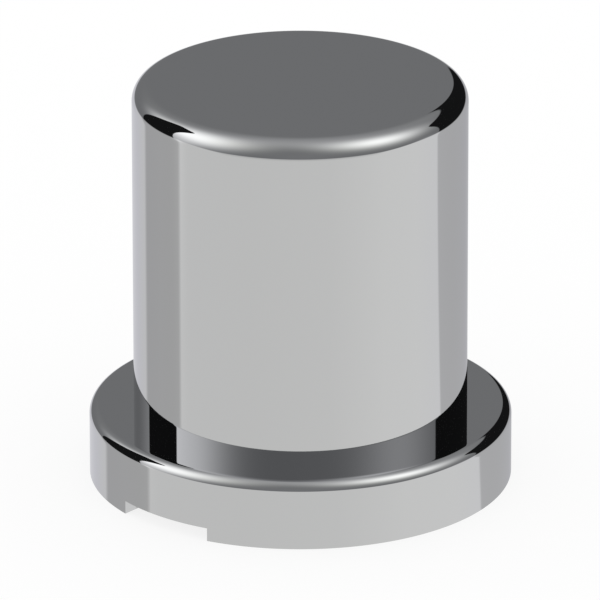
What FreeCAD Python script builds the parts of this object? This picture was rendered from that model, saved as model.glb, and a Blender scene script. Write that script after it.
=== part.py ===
import FreeCAD, Part
import Sketcher
import os

# Push-on cover for the 33 mm hexagon nut of a truck wheel: one moulded piece, a round capped
# barrel on a wider round flange. It is hollow. The nut goes up into the barrel, where pairs of
# ribs grip its flats, and the flange's skirt stands on the wheel round the nut's washer.
# Frame: origin on the axis at the skirt's foot, +Z up, the notched side to the front, -Y.
# Lengths are in millimetres, angles in degrees.
SIZES = {
    # The nut, the room at its corners, and the barrel's wall round it
    "nut_flats": 33.0,
    "nut_sides": 6,
    "corner_clearance": 0.75,
    "barrel_wall": 2.1,
    # Outside of the cover
    "overall_height": 53.9,
    "top_rim_radius": 2.3,
    "flange_overhang": 5.83,
    "flange_height": 9.3,
    "flange_rim_radius": 1.3,
    # Walls of the top and the flange, and the slope of the inside that frees the mould's core
    "top_thickness": 2.4,
    "flange_thickness": 2.1,
    "skirt_wall": 2.6,
    "inside_draft": 0.5,
    # Bevels in the inside corners of the two hollows, and at the barrel's mouth
    "ceiling_bevel": 1.2,
    "skirt_bevel": 0.9,
    "mouth_bevel": 0.8,
    # Notch in the foot of the skirt, where a blade goes in to pull the cover off
    "notch_width": 14.1,
    "notch_height": 1.76,
    # Grip ribs, two on each flat of the nut. They press on it at the barrel's closed end, and
    # each has a sloped foot that leads the nut in
    "grip_squeeze": 0.15,
    "rib_thickness": 1.3,
    "rib_inset": 3.5,
    "rib_setback": 2.0,
    "rib_lead_height": 4.0,
    "rib_lead_depth": 1.2,
    "rib_root_bevel": 0.35,
}

# Places worked out from the sizes, as formulas on the sheet
NUT_CORNER = "(Sizes.nut_flats / 2 / cos(180 / Sizes.nut_sides))"
FLAT_HALF_WIDTH = "(Sizes.nut_flats / 2 * tan(180 / Sizes.nut_sides))"
MOUTH_RADIUS = f"({NUT_CORNER} + Sizes.corner_clearance)"
BARREL_RADIUS = f"({MOUTH_RADIUS} + Sizes.barrel_wall)"
FLANGE_RADIUS = f"({BARREL_RADIUS} + Sizes.flange_overhang)"
FLANGE_UNDERSIDE = "(Sizes.flange_height - Sizes.flange_thickness)"
CEILING = "(Sizes.overall_height - Sizes.top_thickness)"
CEILING_RADIUS = f"({MOUTH_RADIUS} - ({CEILING} - {FLANGE_UNDERSIDE}) * tan(Sizes.inside_draft))"
SKIRT_FOOT_RADIUS = f"({FLANGE_RADIUS} - Sizes.skirt_wall)"
SKIRT_HEAD_RADIUS = f"({SKIRT_FOOT_RADIUS} - {FLANGE_UNDERSIDE} * tan(Sizes.inside_draft))"
RIB_OFFSET = f"({FLAT_HALF_WIDTH} - Sizes.rib_inset)"
RIB_FOOT = f"({FLANGE_UNDERSIDE} + Sizes.rib_setback)"
RIB_LEAD_TOP = f"({RIB_FOOT} + Sizes.rib_lead_height)"
RIB_TIP_AT_CEILING = "(Sizes.nut_flats / 2 - Sizes.grip_squeeze)"
RIB_TIP_AT_LEAD = f"({RIB_TIP_AT_CEILING} + ({CEILING} - {RIB_LEAD_TOP}) * tan(Sizes.inside_draft))"
RIB_TIP_AT_FOOT = f"({RIB_TIP_AT_LEAD} + Sizes.rib_lead_depth)"
MIDDLE_OF_WALL = f"({BARREL_RADIUS} - Sizes.barrel_wall / 2)"
RIB_BACK = f"sqrt({MIDDLE_OF_WALL} ^ 2 - {RIB_OFFSET} ^ 2)"

NEAR = 0.001


def make_sheet(doc):
    """The driving sizes, one named cell each."""
    sheet = doc.addObject("Spreadsheet::Sheet", "Sizes")
    for row, (name, value) in enumerate(SIZES.items(), start=1):
        sheet.set(f"A{row}", name)
        sheet.set(f"B{row}", str(value))
        sheet.setAlias(f"B{row}", name)
    doc.recompute()
    return sheet


def number(sheet, formula):
    """The present value of a formula on the sheet's sizes."""
    return float(sheet.evalExpression(formula))


def origin_feature(body, role):
    """The body's own origin plane or axis with this role, such as XZ_Plane or Z_Axis."""
    for feature in body.Origin.OriginFeatures:
        if feature.Role == role:
            return feature
    raise RuntimeError(f"the body has no {role}")


def outline(body, sheet, name, corners):
    """A closed outline of straight edges on the XZ plane. Each corner is a pair of formulas,
    its distance out from the axis and its height, and the two hold it in place."""
    sketch = body.newObject("Sketcher::SketchObject", name)
    sketch.AttachmentSupport = [(origin_feature(body, "XZ_Plane"), "")]
    sketch.MapMode = "FlatFace"
    places = [FreeCAD.Vector(number(sheet, out), number(sheet, up), 0) for out, up in corners]
    for index, place in enumerate(places):
        following = places[(index + 1) % len(places)]
        sketch.addGeometry(Part.LineSegment(place, following), False)
    for index in range(len(corners)):
        following = (index + 1) % len(corners)
        sketch.addConstraint(Sketcher.Constraint("Coincident", index, 2, following, 1))
    for index, (out, up) in enumerate(corners):
        hold(sketch, "DistanceX", index, places[index].x, out)
        hold(sketch, "DistanceY", index, places[index].y, up)
    return sketch


def hold(sketch, kind, corner, value, formula):
    """Hold one corner at a distance from the sketch's origin, worked out by the formula. A
    corner at no distance is held on the sketch's upright or level axis instead."""
    if formula == "0":
        axis = {"DistanceX": -2, "DistanceY": -1}[kind]
        sketch.addConstraint(Sketcher.Constraint("PointOnObject", corner, 1, axis))
        return
    held = sketch.addConstraint(Sketcher.Constraint(kind, -1, 1, corner, 1, value))
    sketch.setExpression(f"Constraints[{held}]", formula)


def circle_edges(shape, radius, height):
    """Names of the shape's full circles about the axis with this radius, at this height."""
    names = []
    for index, edge in enumerate(shape.Edges, start=1):
        if edge.Curve.TypeId != "Part::GeomCircle":
            continue
        if abs(edge.Curve.Radius - radius) < NEAR and abs(edge.Curve.Center.z - height) < NEAR:
            names.append(f"Edge{index}")
    if not names:
        raise RuntimeError(f"no circle of radius {radius:.3f} at height {height:.3f}")
    return names


def treat_circle(doc, body, sheet, kind, name, circle, size):
    """Fillet or chamfer a circle. The circle is a pair of formulas, its radius and height. The
    size is one too, paired with the property it drives."""
    base = body.Tip
    radius, height = circle
    size_property, size_formula = size
    edges = circle_edges(base.Shape, number(sheet, radius), number(sheet, height))
    treated = body.newObject(f"PartDesign::{kind}", name)
    treated.Base = (base, edges)
    treated.setExpression(size_property, size_formula)
    doc.recompute()
    return treated


def make_shell(doc, body, sheet):
    """The hat-shaped shell: its half section turned once round the axis."""
    section = outline(body, sheet, "half_section", [
        ("0", "Sizes.overall_height"),
        (BARREL_RADIUS, "Sizes.overall_height"),
        (BARREL_RADIUS, "Sizes.flange_height"),
        (FLANGE_RADIUS, "Sizes.flange_height"),
        (FLANGE_RADIUS, "0"),
        (SKIRT_FOOT_RADIUS, "0"),
        (SKIRT_HEAD_RADIUS, FLANGE_UNDERSIDE),
        (MOUTH_RADIUS, FLANGE_UNDERSIDE),
        (CEILING_RADIUS, CEILING),
        ("0", CEILING),
    ])
    shell = body.newObject("PartDesign::Revolution", "shell")
    shell.Profile = section
    shell.ReferenceAxis = (section, ["V_Axis"])
    shell.Angle = 360
    doc.recompute()
    return shell


def round_rims(doc, body, sheet):
    """Round the barrel's top rim and the flange's top rim."""
    treat_circle(doc, body, sheet, "Fillet", "top_rim",
                 (BARREL_RADIUS, "Sizes.overall_height"), ("Radius", "Sizes.top_rim_radius"))
    treat_circle(doc, body, sheet, "Fillet", "flange_rim",
                 (FLANGE_RADIUS, "Sizes.flange_height"), ("Radius", "Sizes.flange_rim_radius"))


def bevel_inside(doc, body, sheet):
    """Fill the inside corners of the two hollows with bevels, and bevel the barrel's mouth."""
    treat_circle(doc, body, sheet, "Chamfer", "ceiling_corner",
                 (CEILING_RADIUS, CEILING), ("Size", "Sizes.ceiling_bevel"))
    treat_circle(doc, body, sheet, "Chamfer", "skirt_corner",
                 (SKIRT_HEAD_RADIUS, FLANGE_UNDERSIDE), ("Size", "Sizes.skirt_bevel"))
    return treat_circle(doc, body, sheet, "Chamfer", "mouth",
                        (MOUTH_RADIUS, FLANGE_UNDERSIDE), ("Size", "Sizes.mouth_bevel"))


def make_rib(doc, body, sheet, name, offset):
    """One grip rib on the nut's +X flat, seen from the side: its back sits in the barrel's wall,
    its tip leans in towards the closed end, and its foot slopes back to lead the nut in."""
    side_view = outline(body, sheet, f"{name}_side_view", [
        (RIB_BACK, RIB_FOOT),
        (RIB_BACK, CEILING),
        (RIB_TIP_AT_CEILING, CEILING),
        (RIB_TIP_AT_LEAD, RIB_LEAD_TOP),
        (RIB_TIP_AT_FOOT, RIB_FOOT),
    ])
    side_view.setExpression("AttachmentOffset.Base.z", offset)
    rib = body.newObject("PartDesign::Pad", name)
    rib.Profile = side_view
    rib.SideType = "Symmetric"
    rib.setExpression("Length", "Sizes.rib_thickness")
    doc.recompute()
    return rib


def make_ribs(doc, body, sheet):
    """A pair of ribs on every flat of the nut, patterned round the axis."""
    pair = [
        make_rib(doc, body, sheet, "near_rib", RIB_OFFSET),
        make_rib(doc, body, sheet, "far_rib", f"-{RIB_OFFSET}"),
    ]
    ribs = body.newObject("PartDesign::PolarPattern", "ribs")
    ribs.Originals = pair
    ribs.Axis = (origin_feature(body, "Z_Axis"), [""])
    ribs.Angle = 360
    ribs.setExpression("Occurrences", "Sizes.nut_sides")
    body.Tip = ribs
    doc.recompute()
    return ribs


def rib_root_edges(sheet, shape):
    """Names of the long edges where the ribs' sides meet the barrel's inside."""
    shortest = number(sheet, f"({CEILING} - {RIB_LEAD_TOP}) / 2")
    narrowest = number(sheet, f"({RIB_TIP_AT_FOOT} + {CEILING_RADIUS}) / 2")
    widest = number(sheet, MIDDLE_OF_WALL)
    names = []
    for index, edge in enumerate(shape.Edges, start=1):
        box = edge.BoundBox
        if box.ZLength < shortest:
            continue
        middle = edge.valueAt((edge.FirstParameter + edge.LastParameter) / 2)
        if narrowest < (middle.x ** 2 + middle.y ** 2) ** 0.5 < widest:
            names.append(f"Edge{index}")
    return names


def bevel_rib_roots(doc, body, sheet):
    """Fill the corners along both sides of every rib with a small bevel."""
    base = body.Tip
    roots = body.newObject("PartDesign::Chamfer", "rib_roots")
    roots.Base = (base, rib_root_edges(sheet, base.Shape))
    roots.setExpression("Size", "Sizes.rib_root_bevel")
    doc.recompute()
    return roots


def cut_notch(doc, body, sheet):
    """The pull-off notch, a rectangle that stands on the foot, cut straight out to the front
    from the axis, so that it goes through the skirt on one side only."""
    front_view = outline(body, sheet, "notch_front_view", [
        ("-Sizes.notch_width / 2", "0"),
        ("Sizes.notch_width / 2", "0"),
        ("Sizes.notch_width / 2", "Sizes.notch_height"),
        ("-Sizes.notch_width / 2", "Sizes.notch_height"),
    ])
    notch = body.newObject("PartDesign::Pocket", "notch")
    notch.Profile = front_view
    notch.Type = "ThroughAll"
    notch.Reversed = True
    doc.recompute()
    return notch


def check_step(before, after, adds):
    """Stop if a step that adds material, or one that cuts it, did not."""
    change = after.Shape.Volume - before.Shape.Volume
    if abs(change) < NEAR or (change > 0) != adds:
        raise RuntimeError(f"{after.Name} changed the volume by {change:.3f}")


def check_document(doc, body):
    """Stop if any object failed, or if the finished piece is not one valid solid."""
    for item in doc.Objects:
        if "Invalid" in item.State or "Error" in item.State:
            raise RuntimeError(f"{item.Name} failed: {item.State}")
    shape = body.Shape
    if shape.isNull() or not shape.isValid() or len(shape.Solids) != 1:
        raise RuntimeError(f"{body.Label} is not one valid solid")


doc = FreeCAD.newDocument("wheel_nut_cover")
sheet = make_sheet(doc)
body = doc.addObject("PartDesign::Body", "nut_cover")
body.Label = "nut_cover"

make_shell(doc, body, sheet)
round_rims(doc, body, sheet)
hollowed = bevel_inside(doc, body, sheet)
ribbed = make_ribs(doc, body, sheet)
check_step(hollowed, ribbed, adds=True)
beveled = bevel_rib_roots(doc, body, sheet)
check_step(ribbed, beveled, adds=True)
notched = cut_notch(doc, body, sheet)
check_step(beveled, notched, adds=False)
check_document(doc, body)

os.makedirs("parts", exist_ok=True)
body.Shape.exportStep(f"parts/{body.Label}.step")
print(f"{body.Label}: {body.Shape.Volume:.1f} cubic millimetres")
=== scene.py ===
import math

import bmesh
import bpy
import numpy as np
from mathutils import Matrix, Vector


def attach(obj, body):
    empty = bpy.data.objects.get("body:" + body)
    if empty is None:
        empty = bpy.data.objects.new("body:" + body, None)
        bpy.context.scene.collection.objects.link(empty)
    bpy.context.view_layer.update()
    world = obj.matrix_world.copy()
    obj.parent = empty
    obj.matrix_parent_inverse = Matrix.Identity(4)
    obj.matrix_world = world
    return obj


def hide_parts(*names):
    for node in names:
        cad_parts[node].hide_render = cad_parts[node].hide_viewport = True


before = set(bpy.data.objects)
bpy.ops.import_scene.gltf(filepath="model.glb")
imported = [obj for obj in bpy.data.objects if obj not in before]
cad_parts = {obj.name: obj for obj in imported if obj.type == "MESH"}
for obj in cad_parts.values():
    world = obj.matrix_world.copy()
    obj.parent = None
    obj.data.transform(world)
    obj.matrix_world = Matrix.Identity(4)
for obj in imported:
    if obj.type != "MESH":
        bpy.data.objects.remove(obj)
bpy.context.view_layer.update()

# Push-on cover for the hexagon nut of a truck wheel: one chromed moulding, a round capped
# barrel on a wider round flange, hollow, with ribs inside that grip the nut. The frame is the
# CAD's: the axis is Z, the foot stands at height 0 and the notched side faces -Y. Sizes are in
# millimetres until a mesh is made, and angles in degrees.
MM = 0.001

# The nut, the room at its corners, and the barrel's wall round it
NUT_FLATS = 33.0
SIDES = 6
CORNER_CLEARANCE = 0.75
BARREL_WALL = 2.1

# Outside of the cover
OVERALL_HEIGHT = 53.9
TOP_RIM_RADIUS = 2.3
FLANGE_OVERHANG = 5.83
FLANGE_HEIGHT = 9.3
FLANGE_RIM_RADIUS = 1.3

# Walls of the top, the flange and the skirt, and how many degrees the inside leans
TOP_THICKNESS = 2.4
FLANGE_THICKNESS = 2.1
SKIRT_WALL = 2.6
INSIDE_DRAFT = 0.5

# Soft corners of the socket's ceiling and of the skirt, and the bevel at the socket's mouth
CEILING_CORNER = 1.2
SKIRT_CORNER = 0.9
MOUTH_BEVEL = 0.8

# Notch in the foot
NOTCH_WIDTH = 14.1
NOTCH_HEIGHT = 1.76

# Grip ribs: how far their tips stand inside the nut's flats at the ceiling, how thick they
# are, how far in from the nut's corners and up from the socket's mouth they stand, the sloped
# lead at their foot, and their soft roots and edges
GRIP_SQUEEZE = 0.15
RIB_THICKNESS = 1.3
RIB_INSET = 3.5
RIB_SETBACK = 2.0
RIB_LEAD_HEIGHT = 4.0
RIB_LEAD_DEPTH = 1.2
RIB_ROOT = 0.35
RIB_TIP_EDGE = 0.2

# Places worked out from the sizes
HALF_SIDE = math.radians(180.0 / SIDES)
DRAFT = math.tan(math.radians(INSIDE_DRAFT))
MOUTH_RADIUS = NUT_FLATS / 2.0 / math.cos(HALF_SIDE) + CORNER_CLEARANCE
BARREL_RADIUS = MOUTH_RADIUS + BARREL_WALL
FLANGE_RADIUS = BARREL_RADIUS + FLANGE_OVERHANG
FLANGE_UNDERSIDE = FLANGE_HEIGHT - FLANGE_THICKNESS
CEILING = OVERALL_HEIGHT - TOP_THICKNESS
SKIRT_RADIUS = FLANGE_RADIUS - SKIRT_WALL
RIB_MIDDLE = NUT_FLATS / 2.0 * math.tan(HALF_SIDE) - RIB_INSET
RIB_OUTER_SIDE = RIB_MIDDLE + RIB_THICKNESS / 2.0
RIB_INNER_SIDE = RIB_MIDDLE - RIB_THICKNESS / 2.0
RIB_FOOT = FLANGE_UNDERSIDE + RIB_SETBACK
RIB_LEAD_TOP = RIB_FOOT + RIB_LEAD_HEIGHT
RIB_TIP_AT_CEILING = NUT_FLATS / 2.0 - GRIP_SQUEEZE
RIB_TIP_AT_LEAD = RIB_TIP_AT_CEILING + (CEILING - RIB_LEAD_TOP) * DRAFT
RIB_TIP_AT_FOOT = RIB_TIP_AT_LEAD + RIB_LEAD_DEPTH

# How many steps the grid takes round the cover. A sixth of the turn has two ribs in it, and
# its half is made of these runs, from the middle of the nut's flat to the nut's corner.
MIDDLE_STEPS = 9
ROOT_STEPS = 3
SIDE_STEPS = 2
EDGE_STEPS = 2
TIP_STEPS = 3
CORNER_STEPS = 10
RIB_STEPS = 2 * (ROOT_STEPS + SIDE_STEPS + EDGE_STEPS) + TIP_STEPS
HALF_STEPS = MIDDLE_STEPS + RIB_STEPS + CORNER_STEPS
COLUMNS = 2 * HALF_STEPS * SIDES

# The columns from the notch's middle to each of its edges: a 24th of the turn
NOTCH_STEPS = COLUMNS // 24
NOTCH_ANGLE = 360.0 * NOTCH_STEPS / COLUMNS

# How many steps the rims' arcs and the soft corners inside take, and the levels of the flat
# and straight parts between them. A level close beside each arc keeps the part next to it true.
RIM_STEPS = 32
SOFT_CORNER_STEPS = 8
CLOSE = 0.3
TOP_RINGS = (0.0, 4.0, 9.0, 14.0, 18.0)
BARREL_LEVELS = 8
WALL_LEVELS = 4
SKIRT_MIDDLE = 3.5
LEAD_START = 1.5
LEAD_CLOSE = 0.5
SOCKET_LEVELS = 7

# The ceiling is flat from this share of the way out, so that only its rim is shaded round
CEILING_RING = 0.98

# Points nearer than this are merged, and edges sharper than this many degrees look sharp
MERGE_DISTANCE = 0.002
SHARP_ANGLE = 32.0


def polar(radius, angle):
    """Points at a distance from the axis: radius times the cosine and the sine of the angle."""
    turn = np.radians(angle)
    return np.stack([radius * np.cos(turn), radius * np.sin(turn)], axis=-1)


def between(start, stop, steps):
    """Points in even steps from start to stop, without the last one."""
    share = np.arange(steps)[:, None] / steps
    return (1.0 - share) * np.asarray(start) + share * np.asarray(stop)


def eased(start, corner, stop, steps):
    """A soft corner, without its last point. It is the parabola that leaves start towards the
    corner and comes into stop from it: the weights are the squares of what is left and what
    is done, and twice their product for the corner."""
    done = np.arange(steps)[:, None] / steps
    left = 1.0 - done
    return left ** 2 * start + 2.0 * left * done * corner + done ** 2 * stop


def arc(out, up, radius, start, stop, steps):
    """Points (distance from the axis, height) of an arc: its centre, plus the radius times the
    cosine and the sine of an angle that goes from start to stop."""
    return np.array([out, up]) + polar(radius, np.linspace(start, stop, steps + 1))


def root_angles(radius):
    """Angles where the soft roots of a rib's inner and outer sides meet the socket's circle.
    Each side stands at a fixed distance from the middle of the flat, so it meets the circle at
    the arc sine of that distance over the radius, and its root reaches a little past that."""
    inner = math.degrees(math.asin(RIB_INNER_SIDE / radius) - RIB_ROOT / radius)
    outer = math.degrees(math.asin(RIB_OUTER_SIDE / radius) + RIB_ROOT / radius)
    return inner, outer


def ribbed_half(radius, tip):
    """Half of the socket's outline on one flat of the nut, from the middle of the flat to the
    nut's corner: the circle, a rib that stands out of it as far as the tip, the circle."""
    inner, outer = root_angles(radius)
    rib = []
    for side, across, circle_angle in ((RIB_INNER_SIDE, 1, inner), (RIB_OUTER_SIDE, -1, outer)):
        on_circle = polar(radius, circle_angle)
        root = np.array([math.sqrt(radius ** 2 - side ** 2), side])
        on_side = root - [RIB_ROOT, 0.0]
        before_edge = np.array([tip + RIB_TIP_EDGE, side])
        edge = np.array([tip, side])
        after_edge = edge + [0.0, across * RIB_TIP_EDGE]
        rib.append((on_circle, root, on_side, before_edge, edge, after_edge))
    near, far = rib
    return np.concatenate([
        polar(radius, between([0.0], [inner], MIDDLE_STEPS)[:, 0]),
        eased(near[0], near[1], near[2], ROOT_STEPS),
        between(near[2], near[3], SIDE_STEPS),
        eased(near[3], near[4], near[5], EDGE_STEPS),
        between(near[5], far[5], TIP_STEPS),
        eased(far[5], far[4], far[3], EDGE_STEPS),
        between(far[3], far[2], SIDE_STEPS),
        eased(far[2], far[1], far[0], ROOT_STEPS),
        polar(radius, between([outer], [180.0 / SIDES], CORNER_STEPS)[:, 0]),
        polar(radius, np.array([180.0 / SIDES])),
    ])


def plain_half(radius):
    """The same half outline where there are no ribs: all of its points lie on the circle, and a
    rib's share of them is spread evenly between its two roots."""
    inner, outer = root_angles(radius)
    angles = np.concatenate([
        between([0.0], [inner], MIDDLE_STEPS)[:, 0],
        between([inner], [outer], RIB_STEPS)[:, 0],
        between([outer], [180.0 / SIDES], CORNER_STEPS)[:, 0],
        [180.0 / SIDES],
    ])
    return polar(radius, angles)


def all_flats(half):
    """The whole outline from its half on one flat: mirrored in the middle of the flat, and then
    turned to each of the nut's flats in order."""
    flat = np.concatenate([half[:0:-1] * [1.0, -1.0], half[:-1]])
    turns = np.radians(360.0 / SIDES * np.arange(SIDES))
    cosine, sine = np.cos(turns)[:, None], np.sin(turns)[:, None]
    x = flat[:, 0] * cosine - flat[:, 1] * sine
    y = flat[:, 0] * sine + flat[:, 1] * cosine
    return np.stack([x.ravel(), y.ravel()], axis=-1)


# The angle of every column on a round level, from the corner of the nut before the first flat
ROUND_ANGLES = 360.0 / COLUMNS * np.arange(COLUMNS) - 180.0 / SIDES
FROM_NOTCH = (ROUND_ANGLES + 90.0 + 180.0) % 360.0 - 180.0
NOTCH_EDGES = [int(np.argmin(np.abs(FROM_NOTCH - side * NOTCH_ANGLE))) for side in (-1, 1)]

# The columns at the notch's two edges are laid twice, once for the foot and once for the notch
COLUMN_ORDER = np.sort(np.concatenate([np.arange(COLUMNS), NOTCH_EDGES]))
IN_NOTCH = np.zeros(len(COLUMN_ORDER), bool)
IN_NOTCH[NOTCH_EDGES[0] + 1:NOTCH_EDGES[1] + 2] = True


def level(points, height):
    """One level of the grid: the outline's columns in order, all at this height."""
    points = points[COLUMN_ORDER]
    return np.column_stack([points, np.broadcast_to(height, len(points))])


def round_level(radius, height):
    """A round level with its columns in even steps."""
    return level(polar(radius, ROUND_ANGLES), height)


def notched_level(radius, height):
    """A round level of the skirt. Its columns move sideways so that two of them stay in line
    with the notch's edges, which are parallel: the edge is at the arc sine of the notch's half
    width over the radius, and the move fades to nothing at twice the edge's angle."""
    edge = math.degrees(math.asin(NOTCH_WIDTH / 2.0 / radius))
    fade = np.clip(2.0 - np.abs(FROM_NOTCH) / NOTCH_ANGLE, 0.0, 1.0)
    reach = np.minimum(np.abs(FROM_NOTCH) / NOTCH_ANGLE, 1.0)
    moved = ROUND_ANGLES + np.sign(FROM_NOTCH) * (edge - NOTCH_ANGLE) * fade * reach
    return level(polar(radius, moved), height)


def outside_levels():
    """The outside, from the middle of the top down to the foot: a flat top, the top rim's arc,
    the barrel, the flange's top, its rim's arc and its wall."""
    top_edge = BARREL_RADIUS - TOP_RIM_RADIUS
    top_arc = arc(top_edge, OVERALL_HEIGHT - TOP_RIM_RADIUS, TOP_RIM_RADIUS,
                  90.0, 0.0, RIM_STEPS)
    flange_edge = FLANGE_RADIUS - FLANGE_RIM_RADIUS
    flange_arc = arc(flange_edge, FLANGE_HEIGHT - FLANGE_RIM_RADIUS, FLANGE_RIM_RADIUS,
                     90.0, 0.0, RIM_STEPS)
    barrel_heights = np.linspace(top_arc[-1, 1] - CLOSE, FLANGE_HEIGHT, BARREL_LEVELS)
    profile = np.concatenate([
        [[out, OVERALL_HEIGHT] for out in (*TOP_RINGS, top_edge - CLOSE)],
        top_arc,
        [[BARREL_RADIUS, up] for up in barrel_heights],
        [[out, FLANGE_HEIGHT] for out in (BARREL_RADIUS + CLOSE, flange_edge - CLOSE)],
        flange_arc,
    ])
    levels = [round_level(out, up) for out, up in profile]
    wall_top = FLANGE_HEIGHT - FLANGE_RIM_RADIUS - CLOSE
    for up in np.linspace(wall_top, NOTCH_HEIGHT, WALL_LEVELS):
        levels.append(notched_level(FLANGE_RADIUS, up))
    return levels


def skirt_levels():
    """The foot and the hollow of the skirt. The foot stands at height 0, or at the notch's
    height where the notch is, and the skirt's inside leans in with the draft up to a soft
    corner under the flange."""
    foot = np.where(IN_NOTCH, NOTCH_HEIGHT, 0.0)
    levels = [notched_level(FLANGE_RADIUS, foot), notched_level(SKIRT_RADIUS, foot)]
    corner_foot = FLANGE_UNDERSIDE - SKIRT_CORNER
    for up in (NOTCH_HEIGHT, SKIRT_MIDDLE, corner_foot - CLOSE):
        levels.append(notched_level(SKIRT_RADIUS - up * DRAFT, up))
    corner_centre = SKIRT_RADIUS - corner_foot * DRAFT - SKIRT_CORNER
    for out, up in arc(corner_centre, corner_foot, SKIRT_CORNER, 0.0, 90.0, SOFT_CORNER_STEPS):
        levels.append(notched_level(out, up))
    levels.append(round_level(corner_centre - CLOSE, FLANGE_UNDERSIDE))
    return levels


def socket_radius(height):
    """The socket leans in with the draft from its mouth up."""
    return MOUTH_RADIUS - (height - FLANGE_UNDERSIDE) * DRAFT


def rib_tip(height):
    """How far a rib's tip is from the axis: out along the lead at its foot, and from there
    leaning in slowly up to the ceiling."""
    return float(np.interp(height, [RIB_FOOT, RIB_LEAD_TOP, CEILING],
                           [RIB_TIP_AT_FOOT, RIB_TIP_AT_LEAD, RIB_TIP_AT_CEILING]))


def socket_levels():
    """The socket, from the bevel at its mouth to the soft corner at its ceiling. The ribs start
    at their own foot, where the grid steps in from the circle to their outline. The last level
    is a flat ring in the ceiling."""
    levels = []
    mouth_top = FLANGE_UNDERSIDE + MOUTH_BEVEL
    for radius, up in ((MOUTH_RADIUS + MOUTH_BEVEL, FLANGE_UNDERSIDE),
                       (socket_radius(mouth_top), mouth_top),
                       (socket_radius(RIB_FOOT), RIB_FOOT)):
        levels.append(level(all_flats(plain_half(radius)), up))
    corner_foot = CEILING - CEILING_CORNER
    lead = [RIB_FOOT, RIB_FOOT + LEAD_START, RIB_LEAD_TOP - LEAD_CLOSE, RIB_LEAD_TOP]
    above = np.linspace(RIB_LEAD_TOP + LEAD_CLOSE, corner_foot - CLOSE, SOCKET_LEVELS)
    for up in np.concatenate([lead, above]):
        levels.append(level(all_flats(ribbed_half(socket_radius(up), rib_tip(up))), up))
    corner_centre = socket_radius(corner_foot) - CEILING_CORNER
    for radius, up in arc(corner_centre, corner_foot, CEILING_CORNER,
                          0.0, 90.0, SOFT_CORNER_STEPS):
        levels.append(level(all_flats(ribbed_half(radius, rib_tip(up))), up))
    ceiling_edge = all_flats(ribbed_half(corner_centre, RIB_TIP_AT_CEILING))
    levels.append(level(ceiling_edge * CEILING_RING, CEILING))
    return levels


def grid_faces(rows, columns):
    """Quads of a grid whose last column joins its first. With levels that go down the outside
    and columns that turn from X to Y, each quad faces away from the material."""
    row, column = np.meshgrid(np.arange(rows - 1), np.arange(columns), indexing="ij")
    following = (column + 1) % columns
    quads = [row * columns + column, (row + 1) * columns + column,
             (row + 1) * columns + following, row * columns + following]
    return np.stack(quads, axis=-1).reshape(-1, 4)


def make_cover():
    """The whole cover as one closed surface: a grid of levels and columns, closed by the point
    in the middle of the top and by the flat ceiling of the socket."""
    levels = np.stack(outside_levels() + skirt_levels() + socket_levels())
    rows, columns = levels.shape[:2]
    quads = grid_faces(rows, columns)
    ceiling = list(range(rows * columns - 1, (rows - 1) * columns - 1, -1))
    mesh = bpy.data.meshes.new("cover_shell")
    mesh.from_pydata((levels.reshape(-1, 3) * MM).tolist(), [], quads.tolist() + [ceiling])
    work = bmesh.new()
    work.from_mesh(mesh)
    bmesh.ops.remove_doubles(work, verts=work.verts, dist=MERGE_DISTANCE * MM)
    work.to_mesh(mesh)
    work.free()
    mesh.polygons.foreach_set("use_smooth", np.ones(len(mesh.polygons), bool))
    mesh.set_sharp_from_angle(angle=math.radians(SHARP_ANGLE))
    shell = bpy.data.objects.new("cover_shell", mesh)
    bpy.context.scene.collection.objects.link(shell)
    return shell


class Value:
    """A socket that takes part in Python's arithmetic. Each operator adds one Math node."""

    def __init__(self, tree, socket):
        self.tree = tree
        self.socket = socket

    def math(self, operation, *others):
        return node(self.tree, "ShaderNodeMath", {"operation": operation}, [self, *others])

    def __add__(self, other):
        return self.math("ADD", other)

    def __sub__(self, other):
        return self.math("SUBTRACT", other)

    def __rsub__(self, other):
        return node(self.tree, "ShaderNodeMath", {"operation": "SUBTRACT"}, [other, self])

    def __mul__(self, other):
        return self.math("MULTIPLY", other)

    def __truediv__(self, other):
        return self.math("DIVIDE", other)

    def __pow__(self, other):
        return self.math("POWER", other)

    def __neg__(self):
        return self.math("MULTIPLY", -1.0)

    __radd__ = __add__
    __rmul__ = __mul__


def node(tree, kind, settings=None, inputs=(), output=0):
    """Any node: its settings are set first, a ramp's stops among them, and then its sockets, in
    order or by name, to a value or to a link from a Value. The answer is one of its outputs,
    by place or by name."""
    made = tree.nodes.new(kind)
    for name, setting in (settings or {}).items():
        if name == "stops":
            set_stops(made.color_ramp, setting)
        else:
            setattr(made, name, setting)
    pairs = inputs.items() if isinstance(inputs, dict) else enumerate(inputs)
    for socket, value in pairs:
        if isinstance(value, Value):
            tree.links.new(value.socket, made.inputs[socket])
        else:
            made.inputs[socket].default_value = value
    return Value(tree, made.outputs[output]) if made.outputs else made


def set_stops(ramp, stops):
    """The stops of a colour ramp, each a place from 0 to 1 and a colour."""
    while len(ramp.elements) > 1:
        ramp.elements.remove(ramp.elements[-1])
    ramp.elements[0].position = stops[0][0]
    ramp.elements[0].color = stops[0][1]
    for place, colour in stops[1:]:
        ramp.elements.new(place).color = colour


def kept_within(value, low, high):
    """The value, but never under low or over high."""
    return value.math("MAXIMUM", low).math("MINIMUM", high)


def soft_step(value, low, high):
    """0 below low and 1 above high, with a smooth change between them."""
    return node(value.tree, "ShaderNodeMapRange", {"interpolation_type": "SMOOTHSTEP"},
                {"Value": value, "From Min": low, "From Max": high})


def mix_colours(share, first, second):
    """The first colour where the share is 0 and the second where it is 1."""
    return node(share.tree, "ShaderNodeMix", {"data_type": "RGBA"},
                {0: share, 6: first, 7: second}, output=2)


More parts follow.
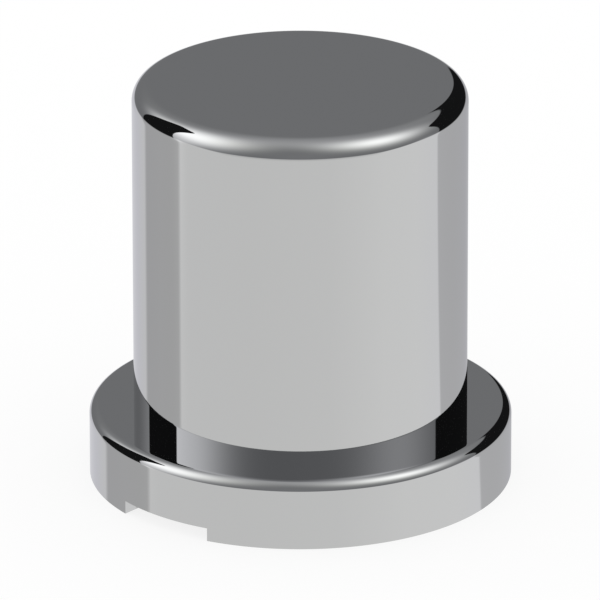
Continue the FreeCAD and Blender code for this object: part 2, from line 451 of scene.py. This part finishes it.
def along_axes(vector):
    """The three parts of a vector, along X, Y and Z."""
    return [node(vector.tree, "ShaderNodeSeparateXYZ", {}, [vector], output=axis)
            for axis in "XYZ"]


def noise(place, cells, detail=2.0):
    """Cloudy noise from 0 to 1, with this many cells a metre."""
    return node(place.tree, "ShaderNodeTexNoise", {},
                {"Vector": place, "Scale": cells, "Detail": detail, "Roughness": 0.5})


def new_tree(name):
    """An empty material with nodes, and the tree of it."""
    material = bpy.data.materials.new(name)
    material.use_nodes = True
    material.node_tree.nodes.clear()
    return material, material.node_tree


# The plating outside, and the thinner one in the hollow, where a share of plastic shows
CHROME_COLOUR = (0.55, 0.553, 0.56, 1.0)
HOLLOW_COLOUR = (0.50, 0.50, 0.505, 1.0)
HOLLOW_PLASTIC = 0.3

# Roughness of the mirror, what its haze and its specks add, and the same for the hollow
MIRROR_ROUGHNESS = 0.014
HAZE_ROUGHNESS = 0.014
SPECK_ROUGHNESS = 0.006
HOLLOW_ROUGHNESS = 0.18
HOLLOW_SPECK_ROUGHNESS = 0.12

# Cells a metre of the haze and the specks, and of the moulding's swell and the hollow's grain,
# with how high these two stand in metres
HAZE_CELLS = 90.0
SPECK_CELLS = 900.0
SWELL_CELLS = 140.0
SWELL_HEIGHT = 1.5e-6
GRAIN_CELLS = 1800.0
GRAIN_HEIGHT = 3.0e-7

# The hollow's finish ends inside the walls, so its edges never show: somewhere between the two
# faces of the barrel's wall, of the flange's top and of the cover's top, and close to the inner
# edge of the foot
HOLLOW_IN_BARREL = BARREL_RADIUS - 0.3 * BARREL_WALL
HOLLOW_IN_SKIRT = SKIRT_RADIUS + 0.2 * SKIRT_WALL
HOLLOW_STEP = FLANGE_HEIGHT - 0.5 * FLANGE_THICKNESS
HOLLOW_TOP = OVERALL_HEIGHT - 0.5 * TOP_THICKNESS
HOLLOW_EDGE = 0.2


def hollow_mask(place):
    """1 on the faces of the hollow and 0 outside: within a radius that is larger in the skirt
    than in the barrel, and below the middle of the top."""
    x, y, z = along_axes(place)
    out = (x * x + y * y) ** 0.5
    edge = HOLLOW_EDGE * MM
    in_barrel = soft_step(z, HOLLOW_STEP * MM - edge, HOLLOW_STEP * MM + edge)
    reach = HOLLOW_IN_SKIRT * MM - (HOLLOW_IN_SKIRT - HOLLOW_IN_BARREL) * MM * in_barrel
    within = 1.0 - soft_step(out - reach, -edge, edge)
    return within * (1.0 - soft_step(z, HOLLOW_TOP * MM - edge, HOLLOW_TOP * MM + edge))


def chrome_material():
    """Bright chrome on moulded plastic. Outside it is a mirror, with the faint swell of the
    moulding under it and a slight haze that comes and goes. In the hollow, where the plating is
    thin, it is duller and rougher, with a fine grain, and partly no metal."""
    material, tree = new_tree("bright_chrome")
    place = node(tree, "ShaderNodeTexCoord", output="Object")
    hollow = hollow_mask(place)
    specks = noise(place, SPECK_CELLS, detail=4.0)
    haze = noise(place, HAZE_CELLS)
    mirror = MIRROR_ROUGHNESS + HAZE_ROUGHNESS * haze + SPECK_ROUGHNESS * specks
    dullness = HOLLOW_ROUGHNESS + HOLLOW_SPECK_ROUGHNESS * specks
    swell = SWELL_HEIGHT * noise(place, SWELL_CELLS, detail=1.0)
    grain = GRAIN_HEIGHT * noise(place, GRAIN_CELLS)
    bump = node(tree, "ShaderNodeBump", {},
                {"Strength": 1.0, "Distance": 1.0, "Height": swell + grain * hollow},
                output="Normal")
    shader = node(tree, "ShaderNodeBsdfPrincipled", {},
                  {"Base Color": mix_colours(hollow, CHROME_COLOUR, HOLLOW_COLOUR),
                   "Metallic": 1.0 - HOLLOW_PLASTIC * hollow,
                   "Roughness": mirror + hollow * dullness,
                   "Normal": bump})
    node(tree, "ShaderNodeOutputMaterial", {}, {"Surface": shader})
    return material


# The photograph's view: the side of the cover that the camera looks from, how far above level
# it stands and how far away, the width of the picture where the cover stands, and the place
# in the middle of the picture: its distance to the right of the cover's foot and above it
CAMERA_AZIMUTH = 40.64
CAMERA_ELEVATION = 22.5
CAMERA_DISTANCE = 1.3516
PICTURE_WIDTH = 0.079046
AIM_RIGHT = -0.000046
AIM_UP = 0.022016
CAMERA_ROLL = -0.0625
SENSOR_WIDTH = 36.0


def towards(azimuth, elevation):
    """The direction of a place in the studio: the azimuth is counted from the camera's side,
    positive to its right, and the elevation from level."""
    turn = math.radians(azimuth + CAMERA_AZIMUTH)
    rise = math.radians(elevation)
    return Vector((math.sin(turn) * math.cos(rise), -math.cos(turn) * math.cos(rise),
                   math.sin(rise)))


def upright_axes(back):
    """The camera's own axes when it looks along the opposite of back with level shoulders."""
    right = Vector((0.0, 0.0, 1.0)).cross(back).normalized()
    return right, back.cross(right), back


def make_camera():
    """The photograph's view, with a long lens from over a metre away."""
    place = towards(0.0, CAMERA_ELEVATION) * CAMERA_DISTANCE
    right, up, _ = upright_axes(place.normalized())
    aim = right * AIM_RIGHT + up * AIM_UP
    axes = Matrix(upright_axes((place - aim).normalized())).transposed()
    roll = Matrix.Rotation(math.radians(CAMERA_ROLL), 4, "Z")
    data = bpy.data.cameras.new("camera")
    data.sensor_width = SENSOR_WIDTH
    data.lens = SENSOR_WIDTH * CAMERA_DISTANCE / PICTURE_WIDTH
    camera = bpy.data.objects.new("camera", data)
    camera.matrix_world = Matrix.Translation(place) @ axes.to_4x4() @ roll
    bpy.context.scene.collection.objects.link(camera)
    bpy.context.scene.camera = camera


# The floor, in metres: its radius, and how far it lies under the foot. For the camera it is
# this share of plain white, and the rest of it takes the shadow.
WHITE = (1.0, 1.0, 1.0, 1.0)
FLOOR_RADIUS = 1.6
FLOOR_SIDES = 96
FLOOR_GAP = 0.00002
FLOOR_GLOW = 0.82


def floor_material():
    """A plain white floor that keeps the cover's shadow, made fainter for the camera. It is
    see-through from below."""
    material, tree = new_tree("pale_floor")
    pale = node(tree, "ShaderNodeBsdfDiffuse", {}, {"Color": WHITE})
    glow = node(tree, "ShaderNodeEmission", {}, {"Color": WHITE, "Strength": 1.0})
    clear = node(tree, "ShaderNodeBsdfTransparent")
    seen = node(tree, "ShaderNodeLightPath", output="Is Camera Ray")
    lit = node(tree, "ShaderNodeMixShader", {}, [seen * FLOOR_GLOW, pale, glow])
    back = node(tree, "ShaderNodeNewGeometry", output="Backfacing")
    mixed = node(tree, "ShaderNodeMixShader", {}, [back, lit, clear])
    node(tree, "ShaderNodeOutputMaterial", {}, {"Surface": mixed})
    return material


def make_floor():
    """A round floor close under the foot. The chrome mirrors the studio's floor, which the
    world paints, and not this one. Scattered light doesn't meet it either, so that light from
    below reaches the hollow."""
    angles = np.linspace(0.0, 360.0, FLOOR_SIDES, endpoint=False)
    edge = polar(FLOOR_RADIUS, angles)
    mesh = bpy.data.meshes.new("floor")
    points = np.column_stack([edge, np.full(FLOOR_SIDES, -FLOOR_GAP)])
    mesh.from_pydata(points.tolist(), [], [list(range(FLOOR_SIDES))])
    mesh.materials.append(floor_material())
    floor = bpy.data.objects.new("floor", mesh)
    floor.visible_glossy = False
    floor.visible_diffuse = False
    bpy.context.scene.collection.objects.link(floor)


# The studio that the chrome mirrors, which stands round the camera's side: azimuths are
# counted from there, positive to the camera's right, and elevations from level. A tone is
# linear, with white at 1.
#
# None of the studio's values, from here to where the light functions begin, was designed freely.
# Most began as the result of least squares fits, made by scratch programs, of what the chrome
# mirrors to the photograph's grey levels. They were then rounded and changed.
#
# The dome has a tone of its own and soft lights, each with its azimuth and elevation, how wide
# it is and its strength.
DOME_TONE = 0.215
DOME_TINT = (0.985, 1.0, 1.03)
SOFT_TINT = (0.975, 0.975, 0.985)
SOFT_LIGHTS = (
    (-78.0, 15.0, 25.0, 0.75),
    (-97.0, 43.0, 25.0, 0.86),
    (-103.0, 22.0, 13.0, 0.50),
    (-130.0, 30.0, 12.0, 0.15),
    (-86.0, -9.0, 14.0, 0.26),
    (72.0, 45.0, 25.0, 0.82),
    (93.0, -20.0, 9.0, 0.43),
    (60.0, 80.0, 30.0, 0.17),
    (170.0, 60.0, 25.0, 0.12),
    (0.0, -5.0, 25.0, 0.05),
)

# Lights that are mirrored once and no more, which keeps the rims brighter than the mirror
# image of the barrel's foot in the flange. No real lamp does this. They are a little warmer.
RIM_TINT = (0.99, 1.0, 0.93)
RIM_LIGHTS = (
    (-67.0, 36.0, 28.0, 0.64),
    (-120.0, 34.0, 14.0, 0.26),
    (-160.0, 30.0, 15.0, 0.03),
    (58.0, 40.0, 28.0, 0.74),
    (155.0, 38.0, 12.0, 0.03),
)

# A small bright lamp low on the left, in front of dome and walls
LOW_LAMP = (-90.5, -14.8, 4.65, 0.33)

# Black cards on both sides of the cover: the azimuth of the middle, half the width at its foot,
# how far it leans to the right and how much it narrows, both over the height, the height of
# its top over its distance, how square its outline is, and how soft its edge. They stand near
# enough for the second mirror image to see them a little further round. A card is followed
# only so many degrees from its middle, and narrows at most to a share of its foot.
DARK_CARDS = (
    (-111.6, 17.8, 0.055, 0.045, 1.016, 5.0, 0.5),
    (138.1, 32.1, 0.08, -0.11, 0.693, 9.0, 1.0),
)
CARD_TONE = 0.011
CARD_SHIFT = 0.018
CARD_REACH = 75.0
CARD_NARROWEST = 0.1

# Where the dome ends and the walls begin, as the sine of an elevation: at the sides, how much
# lower it is on the camera's side, where it is lowest from this cosine on, how much higher it
# is on the far side, with a power of the cosine, and how soft the change is
HORIZON_AT_SIDES = -0.212
HORIZON_DROP = 0.112
HORIZON_LOWEST_FROM = 0.6
HORIZON_RISE = 0.17
HORIZON_RISE_POWER = 4.0
HORIZON_SOFTNESS = 0.033

# The pale foot of the studio's walls, under the dome: an azimuth, the tone there, and how much
# bluer than grey it is. Its edges and tones follow the bands that the photograph shows from side
# to side on the barrel and on the flange's wall.
WALL_TONES = (
    (-180.0, 0.80, 0.02), (-176.0, 0.78, 0.04), (-171.0, 0.72, 0.05), (-150.0, 0.745, 0.06),
    (-134.8, 0.815, 0.01), (-131.2, 0.552, 0.01), (-112.0, 0.588, 0.0), (-91.9, 0.60, -0.01),
    (-90.7, 0.882, -0.01), (-34.0, 0.882, -0.015), (20.0, 0.905, -0.015), (60.0, 0.975, -0.015),
    (86.0, 0.985, -0.01), (108.2, 0.955, 0.01), (109.8, 0.670, 0.01), (125.0, 0.633, 0.01),
    (140.0, 0.595, 0.02), (158.0, 0.525, 0.05), (170.0, 0.53, 0.04), (175.0, 0.76, 0.02),
    (180.0, 0.80, 0.02),
)

# The walls' edge on the right slants. It is in its place this many degrees under level. From
# there down it moves by below * (first + second * below) degrees, where below stays between the
# highest and the lowest, and only on the right, from one azimuth on and fully from another.
SLANT_AT = 21.0
SLANT_FIRST = 1.8
SLANT_SECOND = 1.7
SLANT_HIGHEST = -0.5
SLANT_LOWEST = 3.0
SLANT_FROM = 60.0
SLANT_FULL = 100.0

# Straight down there is one tone, which the walls fade to between two elevations
NADIR_TONE = (0.78, 0.78, 0.785, 1.0)
NADIR_BELOW = -60.0
NADIR_ABOVE = -40.0

# Keeps the division by the level part of a direction finite, straight up and down
ALMOST_NOTHING = 1e-6

# A glossy depth over this is a mirror image of a mirror image: it is 1 for the first
SECOND_IMAGE = 1.5


def soft_light(direction, azimuth, elevation, width, strength):
    """A round light with no edge: its strength times e to the power (cosine of the angle from
    its middle - 1) / (1 - cosine of its width)."""
    cosine = node(direction.tree, "ShaderNodeVectorMath", {"operation": "DOT_PRODUCT"},
                  [direction, towards(azimuth, elevation)], output="Value")
    fall = 1.0 / (1.0 - math.cos(math.radians(width)))
    return ((cosine - 1.0) * fall).math("EXPONENT") * strength


def added_lights(direction, lights):
    """The sum of the lights of a list."""
    return sum(soft_light(direction, *light) for light in lights)


def tinted(tint, tone):
    """A colour: the tint times the tone."""
    return node(tone.tree, "ShaderNodeVectorMath", {"operation": "SCALE"},
                {0: tint, "Scale": tone})


def added_colours(first, second):
    """The sum of two colours."""
    return node(first.tree, "ShaderNodeVectorMath", {"operation": "ADD"}, [first, second])


def horizon(direction):
    """The sine of the elevation where the dome ends. It drops on the camera's side, and on the
    far side it rises with the fourth power of how far away from the camera a direction
    points."""
    away = node(direction.tree, "ShaderNodeVectorMath", {"operation": "DOT_PRODUCT"},
                [direction, towards(180.0, 0.0)], output="Value")
    near_side = soft_step(-away, 0.0, HORIZON_LOWEST_FROM)
    far_side = away.math("MAXIMUM", 0.0) ** HORIZON_RISE_POWER
    return HORIZON_AT_SIDES - near_side * HORIZON_DROP + far_side * HORIZON_RISE


def dark_card(azimuth, rise, middle, half_width, lean, taper, top, squareness, edge):
    """1 on an upright card that stands on the ground and 0 beside it. A direction meets the
    card's plane at the tangent of its azimuth from the card's middle, and as high as its rise
    over the cosine of that azimuth. The outline is where both, each over its half size and
    raised to the squareness, add up to 1."""
    turn = (azimuth - middle).math("WRAP", 180.0, -180.0)
    turn = kept_within(turn, -CARD_REACH, CARD_REACH) * math.radians(1.0)
    up = rise / turn.math("COSINE")
    half = math.tan(math.radians(half_width))
    half_here = (half - up * taper).math("MAXIMUM", CARD_NARROWEST * half)
    across = (turn.math("TANGENT") - up * lean) / half_here
    above = ((up - (top - half)) * (1.0 / half)).math("MAXIMUM", 0.0)
    size = (across.math("ABSOLUTE") ** squareness + above ** squareness) ** (1.0 / squareness)
    soft = math.radians(edge) / half
    return 1.0 - soft_step(size, 1.0 - soft, 1.0 + soft)


def wall_tones(azimuth, elevation):
    """The foot of the walls by azimuth, with the slant of its right edge taken off the azimuth.
    Far below, all fades to one tone."""
    below = kept_within(-SLANT_AT - elevation, SLANT_HIGHEST, SLANT_LOWEST)
    slant = below * (SLANT_FIRST + SLANT_SECOND * below)
    moved = azimuth - soft_step(azimuth, SLANT_FROM, SLANT_FULL) * slant
    stops = [((stop + 180.0) / 360.0, (tone, tone, tone * (1.0 + blue), 1.0))
             for stop, tone, blue in WALL_TONES]
    tones = node(azimuth.tree, "ShaderNodeValToRGB", {"stops": stops},
                 {"Fac": (moved + 180.0) / 360.0}, output="Color")
    return mix_colours(soft_step(elevation, NADIR_BELOW, NADIR_ABOVE), NADIR_TONE, tones)


def make_world():
    """The studio, as the chrome sees it: a grey dome with soft lights and two black cards, over
    pale walls. All else is lit by plain white from every side."""
    world = bpy.data.worlds.new("studio")
    world.use_nodes = True
    tree = world.node_tree
    tree.nodes.clear()
    direction = node(tree, "ShaderNodeTexCoord", output="Generated")
    x, y, z = along_axes(direction)
    turn = x.math("ARCTAN2", -y) * math.degrees(1.0) - CAMERA_AZIMUTH
    azimuth = turn.math("WRAP", 180.0, -180.0)
    elevation = z.math("ARCSINE") * math.degrees(1.0)
    rise = z / (1.0 - z * z).math("MAXIMUM", ALMOST_NOTHING) ** 0.5

    depth = node(tree, "ShaderNodeLightPath", output="Glossy Depth")
    again = depth.math("GREATER_THAN", SECOND_IMAGE)
    card_azimuth = azimuth * (1.0 - CARD_SHIFT * again)
    uncovered = 1.0
    for card in DARK_CARDS:
        uncovered = uncovered * (1.0 - dark_card(card_azimuth, rise, *card))
    dome = added_colours(tinted(DOME_TINT, uncovered * DOME_TONE + CARD_TONE),
                         tinted(SOFT_TINT, added_lights(direction, SOFT_LIGHTS) * uncovered))
    rims = tinted(RIM_TINT, added_lights(direction, RIM_LIGHTS) * uncovered * (1.0 - again))
    above = soft_step(z - horizon(direction), -HORIZON_SOFTNESS, HORIZON_SOFTNESS)
    studio = mix_colours(above, wall_tones(azimuth, elevation), added_colours(dome, rims))
    studio = added_colours(studio, tinted(SOFT_TINT, soft_light(direction, *LOW_LAMP)))
    glossy = node(tree, "ShaderNodeLightPath", output="Is Glossy Ray")
    shader = node(tree, "ShaderNodeBackground", {},
                  {"Color": mix_colours(glossy, WHITE, studio), "Strength": 1.0})
    node(tree, "ShaderNodeOutputWorld", {}, {"Surface": shader})
    bpy.context.scene.world = world


cover = make_cover()
cover.data.materials.append(chrome_material())
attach(cover, "root")
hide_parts("nut_cover")
make_floor()
make_world()
make_camera()
bpy.context.scene.view_settings.view_transform = "Standard"
